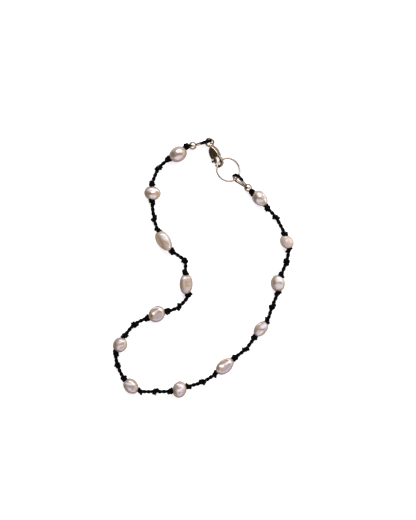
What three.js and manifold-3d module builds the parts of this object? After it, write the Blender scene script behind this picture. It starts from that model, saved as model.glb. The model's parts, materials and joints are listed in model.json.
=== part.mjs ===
// An anklet: thirteen baroque pearls knotted on a twisted black cord. Each end of the cord passes
// a small gold bead and turns back round a wire guard. One guard holds a jump ring and a lobster
// clasp, the other a large plain ring, and the clasp is hooked into that ring.
// Millimetres, +Z up. The anklet lies on its pearls at z = 0, centred on the origin.

import * as THREE from "three";
import { mergeVertices } from "three/addons/utils/BufferGeometryUtils.js";
import Module from "manifold-3d";

const wasm = await Module();
wasm.setup();

// ---------------------------------------------------------------- driving dimensions

// The middle of the laid-out string, in the coordinates of the tables below.
const LAYOUT_CENTRE = { x: -0.1, y: -0.11 };

// Cord
const CORD_DIAMETER = 1.0;
const CORD_SIDES = 8;
const CORD_STEP_LENGTH = 2.5; // the longest step along the cord between two knots
const END_STRAND_DIAMETER = 0.5;
const END_STRAND_SIDES = 6;
const END_STRAND_STEPS = 20;
const END_LOOP_ROOT = 0.4; // how far past the bead's middle the two legs of an end loop join
const END_STRAND_GAP = 0.2; // between the middles of the two legs where they join
const ROUTE_MEASURES = 50; // how finely the string's route is measured between two of its points
const KNOT_LENGTH = 1.7;
const KNOT_WIDTH = 2.3;
const KNOT_SEAT = 0.95; // from the mouth of a pearl's hole to the middle of its knot
const GAP_KNOT_HEIGHT = 1.7;
const KNOT_SHAPE = [
  // along the knot, in half lengths, and its width there, in whole widths
  { along: -0.6, width: 0.87 },
  { along: 0, width: 1 },
  { along: 0.6, width: 0.87 },
];

// Pearls
const PEARL_SIDES = 12;
const PEARL_RINGS = 8;
const PEARL_BORE = 1.6;
const PEARL_BORE_SIDES = 8;
const PEARL_FLAT = 0.12; // how much the resting side is flattened

// Gold beads
const BEAD_DIAMETER = 2.9;
const BEAD_BORE = 1.7;
const BEAD_SIDES = 16;
const BEAD_ARC_STEPS = 7;

// Wire guards: two short tubes joined by a half pipe round the bend
const GUARD_TUBE = 1.05;
const GUARD_BORE = 0.8;
const GUARD_SIDES = 6;
const GUARD_STEPS = 18;
const GUARD_MOUTH_SPREAD = 1.1; // between the two tubes where they meet the bead
const GUARD_BEND_RADIUS = 1.25;
const GUARD_BEND_CENTRE = 3.6; // along the guard, from its mouth
const GUARD_TUBE_LENGTH = 1.4; // the half pipe starts here
const GUARD_BEND_ANGLES = [60, 30, 0, -30, -60]; // the points that the bend passes
const GUARD_BORE_OVERRUN = 0.5; // how far the bore is cut past the mouths
const GUARD_FROM_BEAD = 1.65; // from the middle of the bead to the mouths of the tubes

// Rings
const JUMP_RING_RADIUS = 1.45;
const JUMP_RING_WIRE = 0.58;
const END_RING_RADIUS = 4.28;
const END_RING_WIRE = 0.56;
const RING_SIDES = 8;
const JUMP_RING_STEPS = 20;
const END_RING_STEPS = 40;

// Lobster clasp, in its own frame: X runs from the tail to the hook, Y to the hook's side
const CLASP_THICKNESS = 1.95;
const HOOK_THICKNESS = 0.9;
const CLASP_BEVEL = 0.22;
const HOOK_BEVEL = 0.14;
const EYE_RADIUS = 0.82;
const EYE_WIRE = 0.4;
const EYE_AT = 0.35;
const EYE_STEPS = 16;
const PIVOT = { x: 3.95, y: -0.75 };
const PIN_DIAMETER = 0.5;
const PIN_CLEARANCE = 0.1;
const PIN_SIDES = 10;
const LEVER_THICKNESS = 0.7;
const LEVER_CLEARANCE = 0.1;
const LEVER_BOSS_RADIUS = 0.5;
const LEVER_BOSS_SIDES = 16;
const THUMB_BALL = { x: 5.8, y: -1.95, radius: 0.55, sides: 12, rings: 8 };

// Each pearl: the middle of its drill hole, the heading of the hole along the string, how far the
// pearl's own middle lies to the left of the hole, its long, short and upright sizes, the lean of
// its long side from +X, and how much its far end along that side is narrower than the near one.
const PEARLS = [
  { x: -9.4, y: 41.0, heading: -145, side: 0.5, long: 6.5, short: 5.6, tall: 5.2, lean: 29, egg: 0.1 },
  { x: -18.5, y: 26.6, heading: -90, side: 0.2, long: 6.4, short: 5.1, tall: 4.9, lean: -14, egg: 0 },
  { x: -13.8, y: 9.5, heading: -56, side: -0.3, long: 7.9, short: 5.1, tall: 4.9, lean: -55, egg: 0.16 },
  { x: -5.9, y: -6.0, heading: -82, side: -0.3, long: 6.9, short: 5.1, tall: 4.8, lean: 85, egg: 0 },
  { x: -16.6, y: -17.2, heading: -162, side: -0.3, long: 6.4, short: 5.5, tall: 5.1, lean: 50, egg: 0 },
  { x: -29.9, y: -27.9, heading: -118, side: 0, long: 5.5, short: 5.2, tall: 5.0, lean: 58, egg: 0.1 },
  { x: -25.7, y: -42.3, heading: -38, side: -0.6, long: 6.0, short: 5.1, tall: 4.9, lean: -43, egg: 0 },
  { x: -8.7, y: -43.7, heading: 15, side: -0.3, long: 6.0, short: 5.0, tall: 4.8, lean: 80, egg: 0 },
  { x: 7.7, y: -35.6, heading: 40, side: 0, long: 7.3, short: 5.0, tall: 4.8, lean: 39, egg: 0.04 },
  { x: 20.7, y: -22.3, heading: 52, side: 0.1, long: 6.1, short: 4.4, tall: 4.3, lean: 46, egg: 0 },
  { x: 27.3, y: -6.0, heading: 78, side: 0.6, long: 5.7, short: 5.5, tall: 5.0, lean: 138, egg: 0 },
  { x: 29.9, y: 9.0, heading: 104, side: -0.1, long: 5.5, short: 4.5, tall: 4.3, lean: 141, egg: 0 },
  { x: 20.1, y: 24.1, heading: 133, side: -0.5, long: 6.2, short: 5.1, tall: 4.8, lean: -43, egg: 0.14 },
];

// The knot in the middle of each gap between two pearls.
const GAP_KNOTS = [
  { x: -16.2, y: 35.4 },
  { x: -17.7, y: 17.5 },
  { x: -7.0, y: 2.4 },
  { x: -8.9, y: -14.3 },
  { x: -24.8, y: -20.6 },
  { x: -30.8, y: -35.4 },
  { x: -17.1, y: -44.8 },
  { x: -0.4, y: -41.4 },
  { x: 15.2, y: -29.5 },
  { x: 24.7, y: -14.1 },
  { x: 29.6, y: 1.8 },
  { x: 26.1, y: 17.7 },
];

// The two ends: the middle of the gold bead, the heading of the guard beyond it, and how far the
// guard is rolled over from lying flat.
const CLASP_END = { x: -3.9, y: 43.6, z: 2.15, heading: 15, roll: 90 };
const RING_END = { x: 16.0, y: 28.49, z: 2.15, heading: 140.5, roll: -51 };

// How the loose pieces lie: the middle of each ring and its tilt, and the clasp's tail and turns.
const JUMP_RING = { x: 2.23, y: 45.02, z: 2.23, tiltX: 12, tiltY: -10.8 };
const END_RING = { x: 8.89, y: 34.95, z: 2.25, tiltX: -14.2, tiltY: 14.7 };
const CLASP = { x: 2.87, y: 44.05, z: 2.13, yaw: -68, pitch: 0.8, roll: 39.8 };

// ---------------------------------------------------------------- solids

const MERGE_TOLERANCE = 1e-5;
const MEASURES_PER_STEP = 20; // how finely a curve is measured, for each step of a bar along it
const OUTLINE_SEGMENTS = 6; // straight pieces in each bent edge of a plate
const radians = THREE.MathUtils.degToRad;

/** A manifold-3d solid of a closed three.js geometry. */
function toSolid(geometry) {
  const bare = geometry.clone();
  bare.deleteAttribute("normal");
  bare.deleteAttribute("uv");
  const merged = mergeVertices(bare, MERGE_TOLERANCE);
  const mesh = new wasm.Mesh({
    numProp: 3,
    vertProperties: new Float32Array(merged.attributes.position.array),
    triVerts: new Uint32Array(merged.index.array),
  });
  return new wasm.Manifold(mesh);
}

/** The three.js geometry of a manifold-3d solid. */
function toGeometry(solid) {
  const { vertProperties, triVerts } = solid.getMesh();
  const geometry = new THREE.BufferGeometry();
  geometry.setAttribute("position", new THREE.BufferAttribute(new Float32Array(vertProperties), 3));
  geometry.setIndex(new THREE.BufferAttribute(new Uint32Array(triVerts), 1));
  geometry.computeVertexNormals();
  return geometry;
}

/** Joins several geometries into one. */
function join(geometries) {
  return toGeometry(geometries.map(toSolid).reduce((whole, next) => whole.add(next)));
}

/** Cuts the tool geometries out of a body. */
function cut(body, ...tools) {
  return toGeometry(tools.map(toSolid).reduce((rest, tool) => rest.subtract(tool), toSolid(body)));
}

/** The corners of a regular polygon that lies round a circle's middle. */
function circlePoints(diameter, sides) {
  return Array.from({ length: sides }, (_, side) => {
    const angle = (2 * Math.PI * (side + 0.5)) / sides;
    return new THREE.Vector2(Math.cos(angle), Math.sin(angle)).multiplyScalar(diameter / 2);
  });
}

/** A solid round bar along a curve. */
function bar(curve, diameter, sides, steps) {
  const section = new THREE.Shape(circlePoints(diameter, sides));
  curve.arcLengthDivisions = Math.max(curve.arcLengthDivisions, MEASURES_PER_STEP * steps);
  return new THREE.ExtrudeGeometry(section, { steps, extrudePath: curve, bevelEnabled: false });
}

/** A plate of an outline, centred on z = 0, with bevelled edges inside the outline. */
function plate(shape, thickness, bevel = 0) {
  const geometry = new THREE.ExtrudeGeometry(shape, {
    depth: thickness - 2 * bevel,
    curveSegments: OUTLINE_SEGMENTS,
    bevelEnabled: bevel > 0,
    bevelThickness: bevel,
    bevelSize: bevel,
    bevelOffset: -bevel,
    bevelSegments: 1,
  });
  geometry.translate(0, 0, bevel - thickness / 2);
  return geometry;
}

/** A round pin along Z through a point. */
function pin(at, diameter, length, sides) {
  const geometry = new THREE.CylinderGeometry(diameter / 2, diameter / 2, length, sides);
  geometry.rotateX(Math.PI / 2);
  geometry.translate(at.x, at.y, 0);
  return geometry;
}

/** A named mesh with a material of its own. */
function piece(name, geometry, material) {
  const mesh = new THREE.Mesh(geometry, material);
  mesh.name = name;
  return mesh;
}

const goldFinish = () =>
  new THREE.MeshStandardMaterial({ color: 0xd9b48a, roughness: 0.18, metalness: 1 });
const pearlFinish = () =>
  new THREE.MeshStandardMaterial({ color: 0xdccfc6, roughness: 0.3, metalness: 0 });
const cordFinish = () =>
  new THREE.MeshStandardMaterial({ color: 0x0c0b0c, roughness: 0.7, metalness: 0 });

// ---------------------------------------------------------------- pearls

/** The height of a pearl's middle, with its flattened side on the surface. */
const pearlHeight = (pearl) => pearl.tall / 2 - PEARL_FLAT;

/** How far the two mouths of a pearl's drill hole lie from the hole's middle, along the string. */
function holeMouths({ long, short, lean, heading, side }) {
  const turn = radians(heading - lean);
  const along = new THREE.Vector2(Math.cos(turn) / long, Math.sin(turn) / short).multiplyScalar(2);
  const start = new THREE.Vector2(Math.sin(turn) / long, -Math.cos(turn) / short).multiplyScalar(2 * side);
  const middle = -start.dot(along) / along.lengthSq();
  const reach = Math.sqrt(middle ** 2 + (1 - start.lengthSq()) / along.lengthSq());
  return [middle - reach, middle + reach];
}

/** A point on the line of a pearl's drill hole, a distance along it from the middle. */
function onDrillLine(pearl, distance) {
  const heading = radians(pearl.heading);
  return new THREE.Vector3(
    pearl.x + distance * Math.cos(heading),
    pearl.y + distance * Math.sin(heading),
    pearlHeight(pearl),
  );
}

/** A baroque pearl: an egg that leans its own way, drilled through and flattened below. */
function pearlGeometry(pearl) {
  const { long, short, tall, lean, egg, side } = pearl;
  const heading = radians(pearl.heading);
  const body = new THREE.SphereGeometry(1, PEARL_SIDES, PEARL_RINGS);
  body.rotateZ(-Math.PI / 2);
  const position = body.attributes.position;
  for (let i = 0; i < position.count; i += 1) {
    const along = position.getX(i);
    const narrowing = 1 - egg * along;
    position.setXYZ(
      i,
      (along * long) / 2,
      (position.getY(i) * narrowing * short) / 2,
      (position.getZ(i) * tall) / 2,
    );
  }
  body.rotateZ(radians(lean));
  body.translate(
    pearl.x - side * Math.sin(heading),
    pearl.y + side * Math.cos(heading),
    pearlHeight(pearl),
  );
  const below = new THREE.BoxGeometry(2 * long, 2 * long, tall);
  below.translate(pearl.x, pearl.y, -tall / 2);
  const bore = new THREE.CylinderGeometry(
    PEARL_BORE / 2,
    PEARL_BORE / 2,
    2 * long,
    PEARL_BORE_SIDES,
  );
  bore.rotateZ(heading + Math.PI / 2);
  bore.translate(pearl.x, pearl.y, pearlHeight(pearl));
  return cut(body, below, bore);
}

// ---------------------------------------------------------------- gold beads and wire guards

/** The middle of the bead at one end of the string. */
const endPoint = ({ x, y, z }) => new THREE.Vector3(x, y, z);

/** The frame of a guard: X along it from the tubes' mouths, Y across from one tube to the other. */
function guardMatrix(end) {
  const turn = new THREE.Euler(radians(end.roll), 0, radians(end.heading), "ZYX");
  const matrix = new THREE.Matrix4().makeRotationFromEuler(turn);
  matrix.setPosition(end.x, end.y, end.z);
  return matrix.multiply(new THREE.Matrix4().makeTranslation(GUARD_FROM_BEAD, 0, 0));
}

/** The middle line of a guard: its legs spread from the mouths and run straight into the bend. */
function guardCurve(overrun = 0) {
  const mouth = GUARD_MOUTH_SPREAD / 2;
  const narrowing = (GUARD_BEND_RADIUS - mouth) / GUARD_BEND_CENTRE;
  const leg = [
    new THREE.Vector3(-overrun, mouth - narrowing * overrun, 0),
    new THREE.Vector3(0, mouth, 0),
    new THREE.Vector3(0.4 * GUARD_BEND_CENTRE, 0.4 * mouth + 0.6 * GUARD_BEND_RADIUS, 0),
    new THREE.Vector3(0.8 * GUARD_BEND_CENTRE, GUARD_BEND_RADIUS, 0),
  ];
  const bend = GUARD_BEND_ANGLES.map((angle) => {
    const turn = radians(angle);
    const x = GUARD_BEND_CENTRE + GUARD_BEND_RADIUS * Math.cos(turn);
    return new THREE.Vector3(x, GUARD_BEND_RADIUS * Math.sin(turn), 0);
  });
  const start = overrun > 0 ? leg : leg.slice(1);
  const back = start.map(({ x, y, z }) => new THREE.Vector3(x, -y, z)).reverse();
  return new THREE.CatmullRomCurve3([...start, ...bend, ...back]);
}

/** A wire guard in its own frame: a bent tube whose outer half is open past its two legs. */
function guardGeometry() {
  const tube = bar(guardCurve(), GUARD_TUBE, GUARD_SIDES, GUARD_STEPS);
  const bore = bar(guardCurve(GUARD_BORE_OVERRUN), GUARD_BORE, GUARD_SIDES, GUARD_STEPS);
  const line = guardCurve().getSpacedPoints(4 * GUARD_STEPS);
  const open = line.filter(({ x }) => x > GUARD_TUBE_LENGTH);
  const bendCentre = new THREE.Vector3(0, 0, 0);
  const outside = open.map((point) => {
    bendCentre.x = Math.min(point.x, GUARD_BEND_CENTRE);
    return point.clone().sub(bendCentre).setLength(2 * GUARD_BEND_RADIUS).add(bendCentre);
  });
  const outerHalf = new THREE.Shape([...open, ...outside.reverse()]);
  return cut(tube, bore, plate(outerHalf, 2 * GUARD_TUBE));
}

/** A polished round bead, drilled along X. */
function beadGeometry() {
  const radius = BEAD_DIAMETER / 2;
  const edge = Math.asin(BEAD_BORE / BEAD_DIAMETER);
  const profile = Array.from({ length: BEAD_ARC_STEPS + 1 }, (_, step) => {
    const angle = edge + ((Math.PI - 2 * edge) * step) / BEAD_ARC_STEPS;
    return new THREE.Vector2(radius * Math.sin(angle), -radius * Math.cos(angle));
  });
  profile.push(profile[0].clone());
  const bead = new THREE.LatheGeometry(profile, BEAD_SIDES);
  bead.rotateZ(-Math.PI / 2);
  return bead;
}

/** A bead and its guard at one end of the string; the bead sits midway between cord and guard. */
function endFittings(end, name, lastKnot) {
  const bead = piece(`gold_bead_${name}`, beadGeometry(), goldFinish());
  bead.position.copy(endPoint(end));
  const alongGuard = new THREE.Vector3().setFromMatrixColumn(guardMatrix(end), 0);
  const alongCord = endPoint(end).sub(lastKnot).normalize();
  const heading = alongCord.add(alongGuard).normalize();
  bead.quaternion.setFromUnitVectors(new THREE.Vector3(1, 0, 0), heading);
  const guard = piece(`wire_guard_${name}`, guardGeometry(), goldFinish());
  guard.applyMatrix4(guardMatrix(end));
  return [bead, guard];
}

// ---------------------------------------------------------------- cord

/** The knots each side of a pearl, in the order of the string. */
function pearlKnots(pearl) {
  const [near, far] = holeMouths(pearl);
  return [onDrillLine(pearl, near - KNOT_SEAT), onDrillLine(pearl, far + KNOT_SEAT)];
}

/** A curve whose even steps fall on chosen lengths along it, so that they can stand closer. */
class SteppedCurve extends THREE.CatmullRomCurve3 {
  constructor(points) {
    super(points);
    this.stops = [];
  }

  /** The length along the curve at which it passes one of its points. */
  lengthAtPoint(index) {
    const divisions = this.arcLengthDivisions / (this.points.length - 1);
    return this.getLengths()[index * divisions];
  }

  getUtoTmapping(u, distance = null) {
    if (distance || this.stops.length === 0) return super.getUtoTmapping(u, distance);
    return super.getUtoTmapping(0, this.stops[Math.round(u * (this.stops.length - 1))]);
  }
}

/** The stops along the string: three in each knot, one at each end of it, and even ones between. */
function stringStops(knotLengths, wholeLength) {
  const stops = [{ length: 0, width: CORD_DIAMETER }];
  const walkTo = (length) => {
    const from = stops.at(-1).length;
    const count = Math.ceil((length - from) / CORD_STEP_LENGTH);
    for (let step = 1; step <= count; step += 1) {
      stops.push({ length: from + ((length - from) * step) / count, width: CORD_DIAMETER });
    }
  };
  for (const middle of knotLengths) {
    walkTo(middle - KNOT_LENGTH / 2);
    for (const { along, width } of KNOT_SHAPE) {
      stops.push({ length: middle + (along * KNOT_LENGTH) / 2, width: width * KNOT_WIDTH });
    }
    stops.push({ length: middle + KNOT_LENGTH / 2, width: CORD_DIAMETER });
  }
  walkTo(wholeLength);
  return stops;
}

/** Widens a bar about the stops of its curve. */
function widen(geometry, stops) {
  const position = geometry.attributes.position;
  const corner = new THREE.Vector3();
  for (let i = 0; i < position.count; i += 1) {
    corner.fromBufferAttribute(position, i);
    const nearest = stops.reduce((best, stop) =>
      corner.distanceToSquared(stop.at) < corner.distanceToSquared(best.at) ? stop : best,
    );
    corner.lerpVectors(nearest.at, corner, nearest.width / CORD_DIAMETER);
    position.setXYZ(i, corner.x, corner.y, corner.z);
  }
  return geometry;
}

/** The string from bead to bead, through every pearl, with all its knots. */
function stringGeometry() {
  const route = [endPoint(CLASP_END)];
  const knots = [];
  PEARLS.forEach((pearl, index) => {
    const [before, after] = pearlKnots(pearl);
    route.push(before, onDrillLine(pearl, 0), after);
    knots.push(route.length - 3, route.length - 1);
    if (index < GAP_KNOTS.length) {
      const { x, y } = GAP_KNOTS[index];
      route.push(new THREE.Vector3(x, y, GAP_KNOT_HEIGHT));
      knots.push(route.length - 1);
    }
  });
  route.push(endPoint(RING_END));

  const curve = new SteppedCurve(route);
  curve.arcLengthDivisions = ROUTE_MEASURES * (route.length - 1);
  const knotLengths = knots.map((index) => curve.lengthAtPoint(index));
  const stops = stringStops(knotLengths, curve.getLength());
  curve.stops = stops.map(({ length }) => length);
  const steps = stops.length - 1;
  stops.forEach((stop, index) => {
    stop.at = curve.getPointAt(index / steps);
  });
  return widen(bar(curve, CORD_DIAMETER, CORD_SIDES, steps), stops);
}

/** The strand that leaves the bead, turns round the guard's bend and comes back. */
function endLoopGeometry(end) {
  const out = [
    new THREE.Vector3(-END_LOOP_ROOT - GUARD_FROM_BEAD, END_STRAND_GAP / 2, 0),
    new THREE.Vector3(
      BEAD_DIAMETER / 2 - GUARD_FROM_BEAD,
      (END_STRAND_DIAMETER + END_STRAND_GAP) / 2,
      0,
    ),
  ];
  const back = out.map(({ x, y, z }) => new THREE.Vector3(x, -y, z)).reverse();
  const curve = new THREE.CatmullRomCurve3([...out, ...guardCurve().points, ...back]);
  const loop = bar(curve, END_STRAND_DIAMETER, END_STRAND_SIDES, END_STRAND_STEPS);
  return loop.applyMatrix4(guardMatrix(end));
}

/** The whole cord: the knotted string, and a strand looped round each guard. */
const cordGeometry = () =>
  join([stringGeometry(), endLoopGeometry(CLASP_END), endLoopGeometry(RING_END)]);

// ---------------------------------------------------------------- lobster clasp

/** The outline of the clasp's thick body, from its tail to the mouth of the hook. */
function bodyOutline() {
  const shape = new THREE.Shape();
  shape.moveTo(0.95, 0.45);
  shape.bezierCurveTo(1.9, 1.1, 2.4, 1.6, 3.6, 1.62);
  shape.lineTo(4.9, 1.66);
  shape.lineTo(4.5, 1.0);
  shape.lineTo(4.9, -1.2);
  shape.quadraticCurveTo(4.9, -1.7, 4.3, -1.76);
  shape.bezierCurveTo(2.6, -1.86, 1.9, -1.2, 0.95, -0.45);
  shape.closePath();
  return shape;
}

/** The outline of the hook, which grows out of the body and curls back to the lever's tip. */
function hookOutline() {
  const shape = new THREE.Shape();
  shape.moveTo(3.0, 1.5);
  shape.bezierCurveTo(5.2, 1.6, 5.4, 2.05, 6.5, 2.0);
  shape.bezierCurveTo(7.9, 1.9, 8.45, 0.7, 8.42, -0.3);
  shape.bezierCurveTo(8.35, -1.2, 7.7, -1.5, 6.75, -1.4);
  shape.lineTo(6.75, -0.7);
  shape.bezierCurveTo(7.3, -0.8, 7.6, -0.5, 7.55, 0.1);
  shape.bezierCurveTo(7.4, 0.9, 6.9, 1.2, 6.3, 1.15);
  shape.bezierCurveTo(5.6, 1.1, 5.2, 0.9, 4.4, 0.6);
  shape.lineTo(3.0, 0.6);
  shape.closePath();
  return shape;
}

/** The slot that the lever swings in, open towards the thumb side and the hook's mouth. */
function slotOutline() {
  return new THREE.Shape([
    new THREE.Vector2(3.2, -2.2),
    new THREE.Vector2(5.6, -2.2),
    new THREE.Vector2(5.6, 0.75),
    new THREE.Vector2(4.3, 0.05),
    new THREE.Vector2(3.6, -0.05),
    new THREE.Vector2(3.2, -0.4),
  ]);
}

/** The clasp's body with its hook and tail eye, slotted and drilled for the lever. */
function claspBodyGeometry() {
  const eye = new THREE.TorusGeometry(EYE_RADIUS, EYE_WIRE / 2, RING_SIDES, EYE_STEPS);
  eye.rotateX(Math.PI / 2);
  eye.translate(EYE_AT, 0, 0);
  const body = join([
    plate(bodyOutline(), CLASP_THICKNESS, CLASP_BEVEL),
    plate(hookOutline(), HOOK_THICKNESS, HOOK_BEVEL),
    eye,
  ]);
  const slot = plate(slotOutline(), LEVER_THICKNESS + 2 * LEVER_CLEARANCE);
  const hole = pin(PIVOT, PIN_DIAMETER + 2 * PIN_CLEARANCE, 2 * CLASP_THICKNESS, PIN_SIDES);
  return cut(body, slot, hole);
}

/** The lever: a boss on the pin, an arm that shuts the mouth, and a ball for the thumb. */
function claspLeverGeometry() {
  const arm = new THREE.Shape([
    new THREE.Vector2(PIVOT.x, -0.4),
    new THREE.Vector2(PIVOT.x, -1.1),
    new THREE.Vector2(5.45, -1.15),
    new THREE.Vector2(5.65, -1.7),
    new THREE.Vector2(6.0, -1.7),
    new THREE.Vector2(6.1, -1.15),
    new THREE.Vector2(6.6, -1.1),
    new THREE.Vector2(6.6, -0.6),
  ]);
  const ball = new THREE.SphereGeometry(THUMB_BALL.radius, THUMB_BALL.sides, THUMB_BALL.rings);
  ball.rotateX(Math.PI / 2);
  ball.translate(THUMB_BALL.x, THUMB_BALL.y, 0);
  const lever = join([
    plate(arm, LEVER_THICKNESS),
    pin(PIVOT, 2 * LEVER_BOSS_RADIUS, LEVER_THICKNESS, LEVER_BOSS_SIDES),
    ball,
  ]);
  const bore = pin(PIVOT, PIN_DIAMETER + 2 * PIN_CLEARANCE, CLASP_THICKNESS, PIN_SIDES);
  return cut(lever, bore);
}

/** The clasp as it lies, hooked into the end ring. */
function lobsterClasp() {
  const clasp = new THREE.Group();
  clasp.add(
    piece("clasp_body", claspBodyGeometry(), goldFinish()),
    piece("clasp_lever", claspLeverGeometry(), goldFinish()),
    piece("clasp_pin", pin(PIVOT, PIN_DIAMETER, CLASP_THICKNESS, PIN_SIDES), goldFinish()),
  );
  clasp.position.set(CLASP.x, CLASP.y, CLASP.z);
  clasp.rotation.set(radians(CLASP.roll), radians(CLASP.pitch), radians(CLASP.yaw), "ZYX");
  return clasp;
}

// ---------------------------------------------------------------- rings

/** A plain wire ring as it lies. */
function wireRing(name, radius, wire, steps, lie) {
  const ring = piece(name, new THREE.TorusGeometry(radius, wire / 2, RING_SIDES, steps), goldFinish());
  ring.position.set(lie.x, lie.y, lie.z);
  ring.rotation.set(radians(lie.tiltX), radians(lie.tiltY), 0);
  return ring;
}

// ---------------------------------------------------------------- anklet

const anklet = new THREE.Group();
anklet.add(piece("knotted_cord", cordGeometry(), cordFinish()));
PEARLS.forEach((pearl, index) => {
  const number = String(index + 1).padStart(2, "0");
  anklet.add(piece(`pearl_${number}`, pearlGeometry(pearl), pearlFinish()));
});
anklet.add(
  ...endFittings(CLASP_END, "clasp_end", pearlKnots(PEARLS[0])[0]),
  ...endFittings(RING_END, "ring_end", pearlKnots(PEARLS.at(-1))[1]),
  wireRing("jump_ring", JUMP_RING_RADIUS, JUMP_RING_WIRE, JUMP_RING_STEPS, JUMP_RING),
  wireRing("end_ring", END_RING_RADIUS, END_RING_WIRE, END_RING_STEPS, END_RING),
  lobsterClasp(),
);
anklet.position.set(-LAYOUT_CENTRE.x, -LAYOUT_CENTRE.y, 0);

export default anklet;
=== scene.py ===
import math

import bpy
from mathutils import Matrix, Vector
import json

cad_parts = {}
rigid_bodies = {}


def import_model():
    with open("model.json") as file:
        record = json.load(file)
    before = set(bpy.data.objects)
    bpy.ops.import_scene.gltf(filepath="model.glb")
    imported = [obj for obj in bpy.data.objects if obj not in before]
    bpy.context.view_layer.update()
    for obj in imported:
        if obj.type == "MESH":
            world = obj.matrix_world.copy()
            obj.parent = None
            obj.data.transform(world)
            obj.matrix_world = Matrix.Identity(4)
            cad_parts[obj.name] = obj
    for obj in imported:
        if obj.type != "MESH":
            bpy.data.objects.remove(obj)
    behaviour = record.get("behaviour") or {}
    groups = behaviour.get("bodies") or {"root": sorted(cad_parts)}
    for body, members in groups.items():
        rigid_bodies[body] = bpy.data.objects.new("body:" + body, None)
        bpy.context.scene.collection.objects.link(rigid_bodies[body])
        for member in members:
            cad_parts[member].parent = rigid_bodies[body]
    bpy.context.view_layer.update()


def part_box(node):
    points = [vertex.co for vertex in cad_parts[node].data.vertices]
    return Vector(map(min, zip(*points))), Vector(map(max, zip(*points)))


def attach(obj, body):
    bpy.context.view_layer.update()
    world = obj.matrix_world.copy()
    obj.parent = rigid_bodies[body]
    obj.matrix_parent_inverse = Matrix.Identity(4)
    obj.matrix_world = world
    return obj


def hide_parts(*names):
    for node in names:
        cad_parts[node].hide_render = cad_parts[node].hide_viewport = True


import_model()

# ---------------------------------------------------------------- knotted cord
# Black silk beading cord, two strands laid together. It is tied in an overhand knot hard against
# each side of every pearl and once more in the middle of each gap, so the pearls can't slide.

MM = 0.001

STRAND_RADIUS = 0.43 * MM
STRAND_OFFSET = 0.28 * MM  # from the middle of the cord to the middle of a strand
LAY = 3.1 * MM  # one full turn of the two strands
CORD_RING_STEP = 0.125 * MM  # between the rings of vertices along a strand
CORD_SIDES = 10

# Every drill hole in order: the place of its middle, its heading, and its height.
DRILL_HOLES = [
    (-9.3, 41.11, -145, 2.48), (-18.4, 26.71, -90, 2.33), (-13.7, 9.61, -56, 2.33),
    (-5.8, -5.89, -82, 2.28), (-16.5, -17.09, -162, 2.43), (-29.8, -27.79, -118, 2.38),
    (-25.6, -42.19, -38, 2.33), (-8.6, -43.59, 15, 2.28), (7.8, -35.49, 40, 2.28),
    (20.8, -22.19, 52, 2.03), (27.4, -5.89, 78, 2.38), (30.0, 9.11, 104, 2.03),
    (20.2, 24.21, 133, 2.28),
]
# Every knot in order: place, height, and how far it is rolled round the cord. Three belong to a
# pearl: one before it, one after it, and one in the middle of the gap that follows.
KNOTS = [
    (-6.3, 43.34, 2.42, 20), (-12.54, 38.77, 2.42, 200), (-16.06, 35.53, 1.72, 250),
    (-18.37, 29.92, 2.3, 160), (-18.4, 23.47, 2.3, 60), (-17.65, 17.64, 1.7, 300),
    (-16.24, 13.36, 2.3, 100), (-11.13, 5.83, 2.3, 210), (-6.7, 2.34, 1.7, 20),
    (-6.42, -1.94, 2.25, 130), (-5.23, -9.9, 2.25, 290), (-8.76, -14.15, 1.72, 75),
    (-12.9, -15.91, 2.4, 180), (-20.1, -18.21, 2.4, 30), (-24.67, -20.52, 1.75, 330),
    (-28.23, -24.69, 2.35, 240), (-31.4, -30.78, 2.35, 110), (-30.75, -35.28, 1.72, 10),
    (-28.38, -39.96, 2.3, 190), (-22.72, -44.42, 2.3, 280), (-17.04, -44.67, 1.7, 50),
    (-11.71, -44.49, 2.25, 140), (-5.41, -42.77, 2.25, 230), (-0.33, -41.25, 1.7, 320),
    (4.31, -38.34, 2.25, 70), (11.22, -32.54, 2.25, 170), (15.29, -29.37, 1.7, 260),
    (18.5, -25.13, 2.0, 0), (23.03, -19.26, 2.0, 90), (24.8, -13.97, 1.65, 215),
    (26.78, -9.21, 2.35, 300), (28.11, -2.7, 2.35, 45), (29.87, 1.91, 1.72, 150),
    (30.74, 6.27, 2.0, 265), (29.3, 12.03, 2.0, 20), (26.16, 17.86, 1.65, 120),
    (22.85, 21.42, 2.25, 225), (17.56, 26.97, 2.2, 335),
]
KNOTS_PER_PEARL = 3
BEAD_AT_CLASP = Vector((-3.8, 43.71, 2.15)) * MM
BEAD_AT_RING = Vector((16.1, 28.6, 2.15)) * MM

# The middle line of a tight overhand knot, along, across and up, in cord diameters.
OVERHAND = [
    (-1.42, 0.0, -0.03), (-0.55, 0.1, 0.07), (-0.06, 0.51, 0.46), (0.6, 0.98, 0.04),
    (1.03, 0.69, -0.72), (1.0, -0.16, -1.08), (0.51, -0.85, -0.73), (-0.08, -0.94, 0.01),
    (-0.67, -0.79, 0.73), (-1.12, -0.04, 1.0), (-1.11, 0.76, 0.56), (-0.65, 0.96, -0.21),
    (0.02, 0.44, -0.57), (0.53, -0.02, -0.21), (1.42, 0.02, -0.04),
]
KNOT_PULL = Vector((0.6, 0.7, 0.7)) * MM  # one cord diameter inside a knot pulled tight
KNOT_SQUEEZE = 0.92  # how much thinner the strands are drawn inside a knot
KNOT_EASE = 4  # the number of rings over which a strand thins on its way into a knot


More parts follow.
